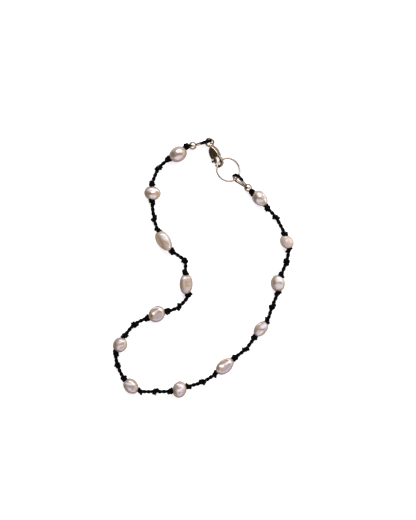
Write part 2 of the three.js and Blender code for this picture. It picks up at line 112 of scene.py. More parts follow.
def through(points, spacing, steps=24):
    """Points evenly spaced along a smooth line through the given ones."""
    first, last = 2 * points[0] - points[1], 2 * points[-1] - points[-2]
    line = [first, *points, last]
    fine = []
    for a, b, c, d in zip(line, line[1:], line[2:], line[3:]):
        for step in range(steps):
            t = step / steps
            fine.append(
                0.5 * (2 * b + (c - a) * t + (2 * a - 5 * b + 4 * c - d) * t * t
                       + (3 * b - a - 3 * c + d) * t ** 3)
            )
    fine.append(points[-1].copy())
    return evenly(fine, spacing)


def evenly(line, spacing):
    """The same line with its points the given distance apart."""
    lengths = [0.0]
    for a, b in zip(line, line[1:]):
        lengths.append(lengths[-1] + (b - a).length)
    count = max(2, round(lengths[-1] / spacing))
    made, here = [], 0
    for step in range(count + 1):
        at = lengths[-1] * step / count
        while here < len(line) - 2 and lengths[here + 1] < at:
            here += 1
        span = lengths[here + 1] - lengths[here]
        made.append(line[here].lerp(line[here + 1], (at - lengths[here]) / span if span else 0))
    return made


def frames(line):
    """A direction, a side and an up at each point of a line, turning as little as they can."""
    side = Vector((0, 0, 1)).cross(line[1] - line[0]).normalized()
    made = []
    for before, after in zip([line[0]] + line[:-1], line[1:] + [line[-1]]):
        along = (after - before).normalized()
        side = (side - along * side.dot(along)).normalized()
        made.append((along, side, along.cross(side)))
    return made


def tie_knots(line, knots):
    """The line with an overhand knot tied at each knot's place, and which points are in one."""
    reach = -OVERHAND[0][0] * KNOT_PULL.x
    gap = round(reach / (line[1] - line[0]).length)
    turned = frames(line)
    made, tied, start, here = [], [], 0, 0
    for at, roll in knots:
        here = min(range(here, len(line)), key=lambda i: (line[i] - at).length_squared)
        made += line[start:here - gap]
        tied += [0.0] * (here - gap - start)
        along, side, up = turned[here]
        turn = Matrix.Rotation(math.radians(roll), 3, along)
        side, up = turn @ side, turn @ up
        loops = [
            line[here] + along * (x * KNOT_PULL.x) + side * (y * KNOT_PULL.y)
            + up * (z * KNOT_PULL.z)
            for x, y, z in OVERHAND[1:-1]
        ]
        loops = through([line[here - gap], *loops, line[here + gap]], CORD_RING_STEP)
        made += loops[:-1]
        tied += [1.0] * (len(loops) - 1)
        start = here + gap
    made += line[start:]
    tied += [0.0] * (len(line) - start)
    return made, tied


def tube(line, radii, sides):
    """The vertices, faces and face UVs of a closed round tube, U in millimetres along it."""
    verts, faces, uvs = [], [], []
    along_mm = 0.0
    marks = []
    for i, ((along, side, up), radius) in enumerate(zip(frames(line), radii)):
        if i:
            along_mm += (line[i] - line[i - 1]).length / MM
        marks.append(along_mm)
        for k in range(sides):
            angle = 2 * math.pi * k / sides
            verts.append(line[i] + (side * math.cos(angle) + up * math.sin(angle)) * radius)
    for i in range(len(line) - 1):
        for k in range(sides):
            a, b = i * sides + k, i * sides + (k + 1) % sides
            faces.append((a, b, b + sides, a + sides))
            v0, v1 = k / sides, (k + 1) / sides
            uvs.append(((marks[i], v0), (marks[i], v1), (marks[i + 1], v1), (marks[i + 1], v0)))
    last = (len(line) - 1) * sides
    faces.append(tuple(range(sides - 1, -1, -1)))
    uvs.append(tuple((0.0, k / sides) for k in range(sides - 1, -1, -1)))
    faces.append(tuple(range(last, last + sides)))
    uvs.append(tuple((along_mm, k / sides) for k in range(sides)))
    return verts, faces, uvs


def mesh_piece(name, parts, material):
    """One smooth object of several closed shells, each given as vertices, faces and UVs."""
    verts, faces, uvs = [], [], []
    for part_verts, part_faces, part_uvs in parts:
        base = len(verts)
        verts += part_verts
        faces += [tuple(base + i for i in face) for face in part_faces]
        uvs += part_uvs
    mesh = bpy.data.meshes.new(name)
    mesh.from_pydata(verts, [], faces)
    layer = mesh.uv_layers.new(name="along_and_round")
    layer.data.foreach_set("uv", [value for face in uvs for uv in face for value in uv])
    mesh.polygons.foreach_set("use_smooth", [True] * len(faces))
    mesh.materials.append(material)
    piece = bpy.data.objects.new(name, mesh)
    bpy.context.collection.objects.link(piece)
    return piece


def strands(line, tied, radius=STRAND_RADIUS, offset=STRAND_OFFSET, drawn=KNOT_SQUEEZE):
    """The two strands laid together along a line, as tubes, drawn thinner where it is tied."""
    turned = frames(line)
    turns, squeeze = [0.0], []
    for a, b in zip(line, line[1:]):
        turns.append(turns[-1] + 2 * math.pi * (b - a).length / LAY)
    for i in range(len(line)):
        near = tied[max(0, i - KNOT_EASE):i + KNOT_EASE + 1]
        squeeze.append(1 - (1 - drawn) * sum(near) / len(near))
    made = []
    for start in (0, math.pi):
        middle = [
            p + (side * math.cos(turn + start) + up * math.sin(turn + start)) * offset * tight
            for p, (_, side, up), turn, tight in zip(line, turned, turns, squeeze)
        ]
        made.append(tube(middle, [radius * tight for tight in squeeze], CORD_SIDES))
    return made


def node_tree(name):
    """A new material, its node tree and its Principled shader."""
    material = bpy.data.materials.new(name)
    material.use_nodes = True
    tree = material.node_tree
    return material, tree, tree.nodes["Principled BSDF"]


def connect(node, inputs):
    """Links a node's inputs to other nodes, and sets those that are the same all over."""
    for key, value in dict(inputs).items():
        if isinstance(value, bpy.types.NodeSocket):
            node.id_data.links.new(value, node.inputs[key])
        else:
            node.inputs[key].default_value = value


def add(tree, kind, inputs=(), **settings):
    """A node with some of its settings and inputs filled in."""
    node = tree.nodes.new(kind)
    for key, value in settings.items():
        setattr(node, key, value)
    connect(node, inputs)
    return node


def ramp(tree, factor, stops):
    """A colour ramp through (position, grey or colour) stops."""
    node = add(tree, "ShaderNodeValToRGB", {"Fac": factor})
    bar = node.color_ramp
    while len(bar.elements) > len(stops):
        bar.elements.remove(bar.elements[-1])
    while len(bar.elements) < len(stops):
        bar.elements.new(1.0)
    for element, (at, colour) in zip(bar.elements, stops):
        element.position = at
        if isinstance(colour, (int, float)):
            colour = (colour, colour, colour)
        element.color = (*colour, 1.0)
    return node.outputs["Color"]


def silk():
    """Black silk: fine filaments wound round each strand, with a painted highlight on their crowns
    and a dull sheen.
    """
    material, tree, shader = node_tree("black_silk")
    uv = add(tree, "ShaderNodeUVMap", uv_map="along_and_round").outputs["UV"]
    wound = add(tree, "ShaderNodeMapping", {"Vector": uv, "Scale": (1.15, 1.0, 1.0)}).outputs[0]
    turned = add(
        tree, "ShaderNodeMapping",
        {"Vector": wound, "Rotation": (0, 0, math.radians(34)), "Scale": (7.0, 7.0, 1.0)},
    ).outputs[0]
    filaments = add(
        tree, "ShaderNodeTexWave",
        {"Vector": turned, "Scale": 1.0, "Distortion": 1.4, "Detail": 2.0, "Detail Scale": 2.0},
    ).outputs["Fac"]
    place = add(tree, "ShaderNodeTexCoord").outputs["Object"]
    fuzz = add(
        tree, "ShaderNodeTexNoise", {"Vector": place, "Scale": 2600.0, "Detail": 4.0}
    ).outputs["Fac"]
    filaments_and_highlight = add(tree, "ShaderNodeMath", {0: filaments, 1: fuzz}, operation="MULTIPLY").outputs[0]
    # The crowns of the filaments are coloured a touch less black, a faint painted highlight; the
    # same pattern drives the bump.
    colour = ramp(tree, filaments_and_highlight, [(0.1, (0.0002, 0.0002, 0.0002)), (0.75, (0.0015, 0.0014, 0.0016))])
    bump = add(tree, "ShaderNodeBump", {"Height": filaments_and_highlight, "Distance": 0.06 * MM, "Strength": 0.8})
    connect(shader, {
        "Base Color": colour, "Roughness": ramp(tree, fuzz, [(0.3, 0.52), (0.7, 0.78)]),
        "Normal": bump.outputs["Normal"], "Specular IOR Level": 0.05, "Sheen Weight": 0.008,
        "Sheen Roughness": 0.4,
    })
    return material


black_silk = silk()

route = [BEAD_AT_CLASP]
for index, (x, y, _, z) in enumerate(DRILL_HOLES):
    own = KNOTS[KNOTS_PER_PEARL * index:KNOTS_PER_PEARL * (index + 1)]
    before, after, *between = [Vector(knot[:3]) * MM for knot in own]
    route += [before, Vector((x, y, z)) * MM, after, *between]
route.append(BEAD_AT_RING)
string_line, string_tied = tie_knots(
    through(route, CORD_RING_STEP), [(Vector(knot[:3]) * MM, knot[3]) for knot in KNOTS]
)
for name, shell in zip(("cord_strand_one", "cord_strand_two"), strands(string_line, string_tied)):
    strand = mesh_piece(name, [shell], black_silk)
    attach(strand, "anklet")
    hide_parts("knotted_cord")

# ---------------------------------------------------------------- pearls
# Thirteen cultured freshwater pearls, each grown to its own lopsided shape, with flats, folds and
# rings in the nacre. They are drilled through, some lengthwise and some across.

DRILL_RADIUS = 0.66 * MM
DRILL_LENGTH = 12 * MM  # longer than any pearl
FLAT_CROWN = 0.1  # how much of its bulge a side keeps where it is pressed flat
CREASE_WIDTH = 0.14 * MM  # from the middle of a fold to the edge of its floor
CREASE_REACH = 0.55 * MM  # from the edge of its floor to where the pearl is round again
RINGED_PEARLS = ("04", "09")  # the two whose growth rings stand out
STRONG_RINGS, FAINT_RINGS = 0.9, 0.25

# For each pearl: its long and short sizes, the heading of its long side, how much narrower its far
# end is, the warmth of its body colour from lavender 0 to cream 1, and the roughness of its polish.
# Then its flats: heading, elevation and depth, and for one with a crisper edge than most, how often
# that edge is smoothed. Then its folds: two ends on its upper side and a depth. Then its patches of
# tone, mostly painted highlights, painted shade and painted reflections of the lights, with some of
# the nacre's golden stains: place, half sizes, heading, tone and strength. All are in degrees and
# millimetres from the middle of the pearl.
PEARLS = [
    (6.6, 5.55, 30, -0.06, 0.5, 0.17, [(88, 62, 0.08), (-80, 52, 0.12), (195, 40, 0.15)], [], [
        (-1.9, -0.1, 1.4, 1.1, 60, "grey", 0.9), (0.4, -0.1, 2.2, 0.75, 12, "olive", 0.75),
        (0.3, 1.3, 1.1, 0.55, 8, "white", 0.6), (1.9, 1.2, 1.1, 0.8, -40, "tan", 0.6),
        (2.4, -0.1, 0.8, 1.2, 0, "olive", 0.6), (-0.6, -1.7, 1.8, 0.7, 20, "pink", 0.5)]),
    (6.2, 5.05, -10, 0.0, 0.8, 0.15,
     [(-88, 50, 0.12), (44, 8, 0.12), (-42, 8, 0.2), (15, 46, 0.35, 2), (112, 62, 0.16, 2)],
     [(-2.0, -0.1, -0.2, -0.6, 0.14)], [
        (-1.2, 2.0, 1.7, 0.6, 20, "brown", 0.6), (-2.4, 0.1, 0.7, 1.3, 0, "brown", 0.7),
        (-0.9, -0.35, 1.8, 0.5, -18, "olive", 1.0), (1.5, -0.1, 1.3, 1.0, -10, "gold", 0.7),
        (-1.0, 1.05, 1.1, 0.45, 0, "white", 0.7), (1.3, 1.0, 1.1, 0.35, -12, "cream", 0.8),
        (-0.3, -1.4, 1.2, 0.6, -10, "pink", 0.75)]),
    (8.1, 5.1, -56, 0.16, 0.8, 0.14,
     [(62, 67, 0.24, 2), (212, 42, 0.35, 2), (-75, 48, 0.35, 2)], [(-1.6, 0.7, 1.3, -0.9, 0.16)], [
        (-2.0, 1.5, 0.8, 1.5, 20, "gold", 0.75), (-1.0, -1.4, 0.5, 2.2, 32, "gold", 1.0),
        (0.3, -0.6, 2.0, 0.4, -30, "tan", 0.85), (0.35, 1.25, 1.9, 0.9, -42, "white", 0.7),
        (1.4, 2.0, 1.3, 0.6, -52, "cream", 0.6), (1.3, -1.8, 0.6, 1.5, 25, "lavender", 0.7)]),
    (7.5, 4.95, 88, -0.04, 0.85, 0.28,
     [(0, 88, 0.36), (180, 18, 0.2), (0, 8, 0.25), (110, 38, 0.15), (-100, 42, 0.3),
      (50, 48, 0.5, 2), (88, 6, 0.62), (-90, 6, 0.2)], [], [
        (-1.9, 0.1, 0.5, 2.6, 0, "brown", 0.8), (0.6, 0.9, 1.5, 1.9, 0, "tan", 0.8),
        (-0.75, 2.15, 0.8, 0.45, 35, "white", 0.95), (-1.0, 1.0, 0.2, 1.2, 8, "lavender", 0.6),
        (-0.3, -2.2, 1.2, 0.9, 0, "lavender", 0.9)]),
    (6.45, 5.65, 46, 0.0, 0.45, 0.17,
     [(121, 46, 0.6, 1), (-59, 70, 0.6, 1), (192, 30, 0.25), (100, 8, 0.1)], [], [
        (-0.4, 1.9, 2.4, 0.7, 32, "tan", 0.9), (-2.3, -0.2, 0.8, 1.7, 35, "brown", 0.95),
        (-0.25, 1.05, 1.8, 0.24, 30, "white", 1.0), (1.8, 1.55, 0.7, 0.6, 0, "cream", 0.8),
        (0.3, 0.35, 1.8, 0.4, 30, "tan", 0.4), (0.3, -1.2, 2.1, 1.5, 25, "lavender", 0.75)]),
    (5.6, 5.2, 55, -0.1, 0.6, 0.16,
     [(75, 66, 0.18, 2), (-60, 58, 0.3, 2), (-35, 82, 0.16), (180, 30, 0.25, 2)],
     [(-0.3, 0.5, 1.7, 0.9, 0.12)], [
        (-1.9, -0.3, 0.65, 1.8, -5, "brown", 0.75), (-0.6, 2.0, 1.4, 0.5, 25, "tan", 0.7),
        (0.4, 0.15, 1.8, 0.45, 22, "tan", 0.6), (0.4, 1.1, 1.2, 0.5, 25, "white", 0.85),
        (1.7, 1.45, 0.6, 0.5, 0, "cream", 0.8), (-0.4, -1.6, 1.6, 0.55, 30, "lavender", 0.9)]),
    (6.1, 5.1, -46, 0.0, 0.5, 0.17,
     [(84, 63, 0.26), (-80, 60, 0.26), (170, 40, 0.2), (35, 12, 0.15), (215, 10, 0.15)],
     [(-1.3, -0.15, 1.0, -0.35, 0.12)], [
        (-2.2, 0.2, 0.6, 1.2, -15, "olive", 0.7), (0.2, 2.0, 1.8, 0.5, -20, "tan", 0.8),
        (0.1, -0.3, 1.6, 0.3, -5, "tan", 0.8), (-0.4, 0.85, 1.9, 0.45, -6, "white", 0.9),
        (2.0, 0.2, 0.6, 0.9, 0, "tan", 0.7), (0.15, -1.5, 1.6, 1.0, 0, "lavender", 0.75)]),
    (6.1, 5.1, 76, 0.0, 0.5, 0.16,
     [(130, 46, 0.16), (-85, 56, 0.22), (70, 66, 0.1)], [(-1.4, -0.95, 1.6, -0.85, 0.14)], [
        (-0.9, 1.3, 1.3, 1.0, 20, "tan", 0.6), (-2.0, 0.0, 0.5, 1.4, 10, "brown", 0.6),
        (0.9, 0.9, 0.5, 1.2, -15, "white", 0.8), (0.0, -0.1, 1.2, 0.42, 12, "white", 0.95),
        (1.7, 1.1, 0.5, 1.2, 15, "cream", 0.5), (0.2, -0.98, 1.8, 0.2, 4, "brown", 0.7),
        (-0.1, -1.9, 1.9, 0.6, 5, "lavender", 0.7)]),
    (7.5, 4.95, 40, 0.06, 0.5, 0.15,
     [(116, 46, 0.6, 1), (-60, 70, 0.5, 1), (190, 30, 0.15)], [], [
        (-0.3, 1.9, 2.4, 0.7, 32, "gold", 0.8), (-2.3, -0.1, 0.9, 1.6, -35, "brown", 0.95),
        (0.6, 1.0, 2.0, 0.24, 21, "white", 0.8), (2.4, 1.9, 0.7, 0.4, 20, "tan", 0.8),
        (0.4, -0.9, 2.7, 1.2, 35, "lavender", 0.7)]),
    (6.35, 4.45, 48, 0.0, 0.7, 0.14,
     [(68, 66, 0.3, 2), (-100, 60, 0.3, 2), (140, 45, 0.35, 2)], [(-1.0, 0.0, 1.2, -0.2, 0.12)], [
        (-0.4, 1.7, 1.4, 0.6, 45, "tan", 0.8), (-1.8, -0.4, 0.5, 1.2, -25, "brown", 0.5),
        (0.0, -0.15, 1.6, 0.3, -6, "brown", 0.7), (0.85, 0.95, 1.5, 0.75, 25, "white", 1.0),
        (1.7, -0.4, 0.5, 0.8, -30, "pink", 0.5), (-0.4, -1.3, 1.6, 0.8, 20, "white", 0.5)]),
    (6.2, 5.2, 100, 0.08, 0.7, 0.15,
     [(74, 66, 0.2, 2), (-86, 62, 0.25, 2), (180, 32, 0.25, 2), (-92, 6, 0.3), (0, 14, 0.1)],
     [(-0.6, 0.3, 1.8, -0.05, 0.06)], [
        (-1.5, 0.2, 0.7, 1.3, 0, "brown", 0.65), (-1.4, 1.7, 0.9, 0.7, 30, "tan", 0.8),
        (0.5, 0.15, 1.8, 0.24, -8, "brown", 0.85), (0.55, 1.4, 1.6, 1.05, 0, "white", 1.0),
        (1.9, 0.9, 0.5, 1.4, 0, "cream", 0.6), (0.2, -1.1, 1.8, 0.9, -8, "white", 0.55)]),
    (5.5, 4.5, -42, 0.0, 0.85, 0.34,
     [(80, 66, 0.25, 2), (-100, 56, 0.3, 2), (190, 40, 0.25, 2), (0, 30, 0.2, 2)], [], [
        (-0.1, 0.55, 0.6, 0.7, 0, "white", 0.5), (-0.6, -0.4, 1.3, 0.35, -10, "tan", 0.6),
        (1.3, 0.5, 0.8, 1.2, 20, "cream", 0.5), (-2.0, 0.8, 0.5, 1.2, 15, "tan", 0.7),
        (-0.1, -1.1, 1.0, 0.5, 0, "lavender", 0.7)]),
    (6.4, 5.0, -46, 0.3, 0.75, 0.15,
     [(98, 60, 0.1), (-95, 50, 0.3), (30, 34, 0.3), (180, 10, 0.15)],
     [(1.2, 0.9, 1.9, -0.7, 0.14)], [
        (-1.7, 0.2, 0.8, 1.5, 10, "grey", 0.9), (0.0, 0.0, 1.7, 0.6, 0, "olive", 0.9),
        (-0.2, 1.5, 1.1, 0.6, -5, "white", 0.6), (1.3, -1.4, 0.8, 0.8, -40, "olive", 0.7),
        (1.95, -0.6, 0.32, 1.0, 25, "white", 1.0), (-0.5, -1.5, 1.4, 0.6, -10, "pink", 0.65)]),
]
# White and cream are painted highlights and reflections, pink and lavender painted reflections of
# the southern lights, grey, olive, brown and tan painted shade; gold is painted shade together with
# the nacre's golden stains.
STAIN_AND_PAINTED_LIGHT_TONES = {
    "grey": (0.19, 0.155, 0.11), "olive": (0.25, 0.20, 0.12), "brown": (0.29, 0.175, 0.09),
    "gold": (0.42, 0.27, 0.13), "tan": (0.37, 0.265, 0.17), "pink": (0.52, 0.38, 0.35),
    "lavender": (0.44, 0.375, 0.40), "cream": (0.66, 0.58, 0.44), "white": (0.74, 0.75, 0.83),
}


def bare(piece):
    """Leaves only this object selected and active."""
    bpy.ops.object.select_all(action="DESELECT")
    piece.select_set(True)
    bpy.context.view_layer.objects.active = piece


def apply_all(piece):
    """Applies the object's modifiers in turn."""
    bare(piece)
    for modifier in list(piece.modifiers):
        bpy.ops.object.modifier_apply(modifier=modifier.name)


def toward(heading, elevation):
    """The direction with a heading and an elevation in degrees."""
    a, e = math.radians(heading), math.radians(elevation)
    return Vector((math.cos(e) * math.cos(a), math.cos(e) * math.sin(a), math.sin(e)))


def select_points(piece, chosen):
    """In edit mode, selects just the points whose place passes a test."""
    bpy.ops.mesh.select_mode(type="VERT")
    bpy.ops.mesh.select_all(action="DESELECT")
    bpy.ops.object.mode_set(mode="OBJECT")
    for point in piece.data.vertices:
        point.select = chosen(point.co)
    bpy.ops.object.mode_set(mode="EDIT")


def flatten(pearl, heading, elevation, depth, softened=4):
    """Presses one side of a pearl flat, as where it grew against its neighbour."""
    out = toward(heading, elevation)
    level = max(point.co.dot(out) for point in pearl.data.vertices) - depth * MM
    select_points(pearl, lambda place: place.dot(out) > level)
    bpy.ops.transform.resize(
        value=(1, 1, FLAT_CROWN),
        orient_type="GLOBAL",
        orient_matrix=out.to_track_quat("Z", "Y").to_matrix(),
        center_override=tuple(out * level),
    )
    bpy.ops.mesh.select_more()
    bpy.ops.mesh.vertices_smooth(factor=0.5, repeat=softened)


def fold(pearl, x0, y0, x1, y1, depth):
    """Sinks a soft crease into the upper side of a pearl, between two places."""
    start, span = Vector((x0, y0)) * MM, Vector((x1 - x0, y1 - y0)) * MM

    def on_crease(place):
        along = min(1, max(0, (place.xy - start).dot(span) / span.length_squared))
        return place.z > 0 and (place.xy - start - span * along).length < CREASE_WIDTH

    select_points(pearl, on_crease)
    bpy.ops.transform.translate(
        value=(0, 0, -depth * MM), use_proportional_edit=True, proportional_size=CREASE_REACH,
        proportional_edit_falloff="SMOOTH",
    )


def node_group(name, inputs, outputs):
    """An empty shader node group, what goes into it, and the node that takes what comes out."""
    group = bpy.data.node_groups.new(name, "ShaderNodeTree")
    for label, kind in inputs:
        group.interface.new_socket(label, in_out="INPUT", socket_type=kind)
    for label, kind in outputs:
        group.interface.new_socket(label, in_out="OUTPUT", socket_type=kind)
    return group, group.nodes.new("NodeGroupInput").outputs, group.nodes.new("NodeGroupOutput")


def mixed(tree, factor, one, other):
    """One colour blended into another."""
    one, other = [(*tone, 1) if isinstance(tone, tuple) else tone for tone in (one, other)]
    return add(tree, "ShaderNodeMix", {0: factor, 6: one, 7: other}, data_type="RGBA").outputs[2]


def patchy(tree, noise, polish):
    """The roughness of a polish that is better in some patches of a noise than in others."""
    share = add(
        tree, "ShaderNodeMapRange",
        {"Value": noise, "From Min": 0.3, "From Max": 0.7, "To Min": 0.75, "To Max": 1.35},
    ).outputs[0]
    return add(tree, "ShaderNodeMath", {0: share, 1: polish}, operation="MULTIPLY").outputs[0]


# Layers of nacre: a cream and lavender body, golden stains, cloudy polish, and growth rings.
layers, given, made = node_group(
    "nacre_layers",
    [("Place", "NodeSocketVector"), ("Warmth", "NodeSocketFloat"), ("Polish", "NodeSocketFloat"),
     ("Rings", "NodeSocketFloat")],
    [("Color", "NodeSocketColor"), ("Roughness", "NodeSocketFloat"), ("Height", "NodeSocketFloat"),
     ("Clouds", "NodeSocketFloat")],
)
clouds = add(
    layers, "ShaderNodeTexNoise",
    {"Vector": given["Place"], "Scale": 260.0, "Detail": 3.0, "Distortion": 0.8},
).outputs["Fac"]
fine = add(
    layers, "ShaderNodeTexNoise",
    {"Vector": given["Place"], "Scale": 1100.0, "Detail": 5.0, "Distortion": 0.4},
).outputs["Fac"]
stains = add(
    layers, "ShaderNodeTexNoise", {"Vector": given["Place"], "Scale": 150.0, "Detail": 2.0}
).outputs["Fac"]
body = mixed(layers, given["Warmth"], (0.38, 0.30, 0.27), (0.44, 0.35, 0.24))
flecked = mixed(layers, ramp(layers, fine, [(0.5, 0.0), (0.66, 0.45)]), body, (0.58, 0.52, 0.50))
lighter = mixed(layers, ramp(layers, clouds, [(0.4, 0.0), (0.7, 0.5)]), flecked, (0.46, 0.38, 0.30))
golden = mixed(
    layers, ramp(layers, stains, [(0.52, 0.0), (0.75, 0.55)]), lighter, (0.34, 0.22, 0.11)
)
ringed = add(
    layers, "ShaderNodeTexWave",
    {"Vector": given["Place"], "Scale": 520.0, "Distortion": 3.0, "Detail": 2.0,
     "Detail Scale": 0.6},
    wave_type="BANDS",
).outputs["Fac"]
rings = add(
    layers, "ShaderNodeMath", {0: ringed, 1: given["Rings"]}, operation="MULTIPLY"
).outputs[0]
height = add(layers, "ShaderNodeMath", {0: rings, 1: fine}, operation="ADD").outputs[0]
connect(made, {
    "Color": golden, "Roughness": patchy(layers, fine, given["Polish"]), "Height": height,
    "Clouds": fine,
})


# One patch of tone over the colour so far, an oval with a cloudy edge: most patches are painted
# light (painted highlights, painted shade, painted reflections), a few are the nacre's golden
# stains.
painted_light_patch, given, made = node_group(
    "nacre_painted_light_patch",
    [("Color", "NodeSocketColor"), ("Place", "NodeSocketVector"), ("Clouds", "NodeSocketFloat"),
     ("Tone", "NodeSocketColor"), ("Strength", "NodeSocketFloat")],
    [("Color", "NodeSocketColor")],
)
reach = add(
    painted_light_patch, "ShaderNodeVectorMath", {"Vector": given["Place"]}, operation="LENGTH"
).outputs["Value"]
frayed = add(
    painted_light_patch, "ShaderNodeMath", {0: given["Clouds"], 1: 0.7, 2: reach}, operation="MULTIPLY_ADD"
).outputs[0]
cover = add(
    painted_light_patch, "ShaderNodeMapRange",
    {"Value": frayed, "From Min": 1.6, "From Max": 0.8, "To Min": 0.0, "To Max": given["Strength"]},
    interpolation_type="SMOOTHSTEP",
).outputs[0]
connect(made, {"Color": mixed(painted_light_patch, cover, given["Color"], given["Tone"])})


def nacre(name, warmth, polish, rings, lean, middle, stains_and_painted_light):
    """One pearl's own nacre, with its growth rings across its long side, and its patches of painted
    highlight, painted shade and painted reflection, with some stains.
    """
    material, tree, shader = node_tree(name)
    place = add(tree, "ShaderNodeTexCoord").outputs["Object"]
    turned = add(
        tree, "ShaderNodeMapping", {"Vector": place, "Rotation": (0, 0, -math.radians(lean))}
    ).outputs[0]
    coats = add(
        tree, "ShaderNodeGroup",
        {"Place": turned, "Warmth": warmth, "Polish": polish, "Rings": rings}, node_tree=layers,
    )
    colour = coats.outputs["Color"]
    # Patches of painted highlight, painted shade and painted reflection, and a few stains, laid
    # over the colour in turn.
    for x, y, long, wide, heading, tone, strength in stains_and_painted_light:
        inside = add(
            tree, "ShaderNodeMapping",
            {"Vector": place, "Location": (middle.x + x * MM, middle.y + y * MM, 0),
             "Rotation": (0, 0, math.radians(heading)), "Scale": (long * MM, wide * MM, 1)},
            vector_type="TEXTURE",
        ).outputs[0]
        colour = add(
            tree, "ShaderNodeGroup",
            {"Color": colour, "Place": inside, "Clouds": coats.outputs["Clouds"],
             "Tone": (*STAIN_AND_PAINTED_LIGHT_TONES[tone], 1), "Strength": strength},
            node_tree=painted_light_patch,
        ).outputs[0]
    bump = add(tree, "ShaderNodeBump", {"Height": coats.outputs["Height"], "Distance": 0.026 * MM})
    connect(shader, {
        "Base Color": colour, "Roughness": coats.outputs["Roughness"],
        "Normal": bump.outputs["Normal"], "IOR": 2.2,
        # A matt pearl has little of the clear coat that gives the others their lustre.
        "Coat Weight": min(1.0, (0.17 / polish) ** 2), "Coat Roughness": 0.13, "Coat IOR": 1.7,
        "Thin Film Thickness": 205.0, "Thin Film IOR": 2.05,
    })
    return material


dents = bpy.data.textures.new("dents", "CLOUDS")
dents.noise_scale = 2.6 * MM
dents.noise_depth = 1

for index, (long, short, lean, taper, warmth, polish, flats, folds, stains_and_painted_light) in enumerate(PEARLS):
    number = f"{index + 1:02d}"
    low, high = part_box(f"pearl_{number}")
    x, y, heading, z = DRILL_HOLES[index]
    bpy.ops.object.select_all(action="DESELECT")
    bpy.ops.mesh.primitive_uv_sphere_add(segments=40, ring_count=28, radius=MM)
    pearl = bpy.context.object
    pearl.name = pearl.data.name = f"baroque_pearl_{number}"
    pearl.data.transform(Matrix.Rotation(math.pi / 2, 4, "Y"))
    pearl.data.transform(Matrix.Rotation(math.radians(heading - lean), 4, "Z"))
    bpy.ops.object.mode_set(mode="EDIT")
    bpy.ops.mesh.select_all(action="SELECT")
    bpy.ops.transform.resize(value=(long / 2, short / 2, (high.z - low.z) / 2 / MM))
    bpy.ops.object.mode_set(mode="OBJECT")
    if taper:
        narrow = pearl.modifiers.new("narrow", "SIMPLE_DEFORM")
        narrow.deform_method = "TAPER"
        narrow.deform_axis = "X"
        narrow.factor = -taper
        apply_all(pearl)
    pearl.data.transform(Matrix.Rotation(math.radians(lean), 4, "Z"))
    bpy.ops.object.mode_set(mode="EDIT")
    for flat in flats:
        flatten(pearl, *flat)
    for crease in folds:
        fold(pearl, *crease)
    bpy.ops.mesh.select_all(action="SELECT")
    bpy.ops.mesh.vertices_smooth(factor=0.5, repeat=2)
    bpy.ops.object.mode_set(mode="OBJECT")
    pearl.data.transform(Matrix.Translation((low + high) / 2))
    finer = pearl.modifiers.new("finer", "SUBSURF")
    finer.levels = finer.render_levels = 1
    bulge = pearl.modifiers.new("dents", "DISPLACE")
    bulge.texture = dents
    bulge.texture_coords = "LOCAL"
    bulge.strength = 0.16 * MM
    bulge.mid_level = 0.55
    apply_all(pearl)
    lowest = min(point.co.z for point in pearl.data.vertices)
    pearl.data.transform(Matrix.Translation((0, 0, low.z - lowest)))
    bpy.ops.object.select_all(action="DESELECT")
    bpy.ops.mesh.primitive_cylinder_add(
        vertices=28, radius=DRILL_RADIUS, depth=DRILL_LENGTH, location=Vector((x, y, z)) * MM,
        rotation=(0, math.pi / 2, math.radians(heading)),
    )
    bit = bpy.context.object
    drill = pearl.modifiers.new("drill", "BOOLEAN")
    drill.operation = "DIFFERENCE"
    drill.object = bit
    apply_all(pearl)
    bpy.data.objects.remove(bit)
    bpy.ops.object.shade_smooth_by_angle(angle=math.radians(45))
    rings = STRONG_RINGS if number in RINGED_PEARLS else FAINT_RINGS
    pearl.data.materials.append(
        nacre(f"nacre_{number}", warmth, polish, rings, lean, (low + high) / 2, stains_and_painted_light)
    )
    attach(pearl, "anklet")
    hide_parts(f"pearl_{number}")

# ---------------------------------------------------------------- gold beads
# A small round bead, polished and plated pale rose gold, closes each end of the string. The cord
# passes it twice: out to the wire guard and back.

BEAD_RADIUS = 1.45 * MM
BEAD_HOLE = 0.62 * MM
CLASP_GUARD = (BEAD_AT_CLASP, 15, 90)  # the bead, the heading of the guard, and its roll
RING_GUARD = (BEAD_AT_RING, 140.5, -51)


def turned_to(at, heading, roll, pitch=0):
    """The frame of a piece that lies at a point, turned to a heading, then pitched and rolled."""
    return (
        Matrix.Translation(at)
        @ Matrix.Rotation(math.radians(heading), 4, "Z")
        @ Matrix.Rotation(math.radians(pitch), 4, "Y")
        @ Matrix.Rotation(math.radians(roll), 4, "X")
    )


# Wear on plated metal: hair scratches, and a polish that dulls and darkens a little in patches.
wear, given, made = node_group(
    "gold_wear",
    [("Place", "NodeSocketVector"), ("Plating", "NodeSocketColor"), ("Polish", "NodeSocketFloat")],
    [("Color", "NodeSocketColor"), ("Roughness", "NodeSocketFloat"),
     ("Scratches", "NodeSocketFloat")],
)
patches = add(
    wear, "ShaderNodeTexNoise",
    {"Vector": given["Place"], "Scale": 420.0, "Detail": 4.0, "Roughness": 0.6},
).outputs["Fac"]
stretched = add(
    wear, "ShaderNodeMapping",
    {"Vector": given["Place"], "Rotation": (0.5, 0.9, 0.4), "Scale": (900.0, 9000.0, 2500.0)},
).outputs[0]
hairs = add(
    wear, "ShaderNodeTexNoise", {"Vector": stretched, "Scale": 1.0, "Detail": 2.0}
).outputs["Fac"]
dulled = add(
    wear, "ShaderNodeMix", {0: 1.0, 6: given["Plating"], 7: (0.86, 0.84, 0.80, 1)},
    data_type="RGBA", blend_type="MULTIPLY",
).outputs[2]
bright = ramp(wear, patches, [(0.35, 1.0), (0.65, 0.0)])
